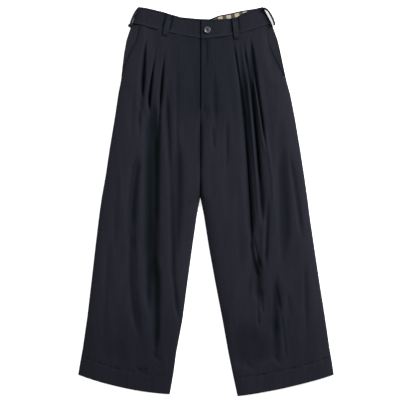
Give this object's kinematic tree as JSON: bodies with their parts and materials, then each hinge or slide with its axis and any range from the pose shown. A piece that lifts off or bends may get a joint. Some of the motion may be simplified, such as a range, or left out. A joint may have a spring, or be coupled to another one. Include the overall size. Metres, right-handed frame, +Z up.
{
  "type": "wide-leg trousers",
  "caption": "Wide-leg trousers laid flat, front up: pleated fronts, buttoned waistband, fly, slant pockets, belt loops and turned hems.",
  "frame": {"origin": "middle of the garment's outline, on the surface that it lies on", "axes": "+Z up from the surface through the front, +Y along the legs to the waist, +X to the wearer's left"},
  "size_m": [0.666, 1.014, 0.019],
  "materials": {
    "navy_twill": "soft dark navy twill",
    "navy_inside": "dark navy twill, hidden",
    "check_lining": null,
    "button_grey": "mottled grey, satin",
    "zip_tape": "dark woven tape"
  },
  "bodies": {
    "root": {"front_right": "navy_twill", "front_left": "navy_twill", "back_right": "navy_twill", "back_left": "navy_twill", "pocket_facing_right": "navy_twill", "pocket_facing_left": "navy_twill", "waistband_right": "navy_twill", "waistband_left": "navy_twill", "waistband_back": "navy_twill", "waistband_lining": "check_lining", "belt_loop_front_right": "navy_twill", "belt_loop_front_left": "navy_twill", "belt_loop_side_right": "navy_twill", "belt_loop_side_left": "navy_twill", "button": "button_grey", "fly_shield": "navy_inside", "fly_zip": "zip_tape"}
  },
  "joints": []
}
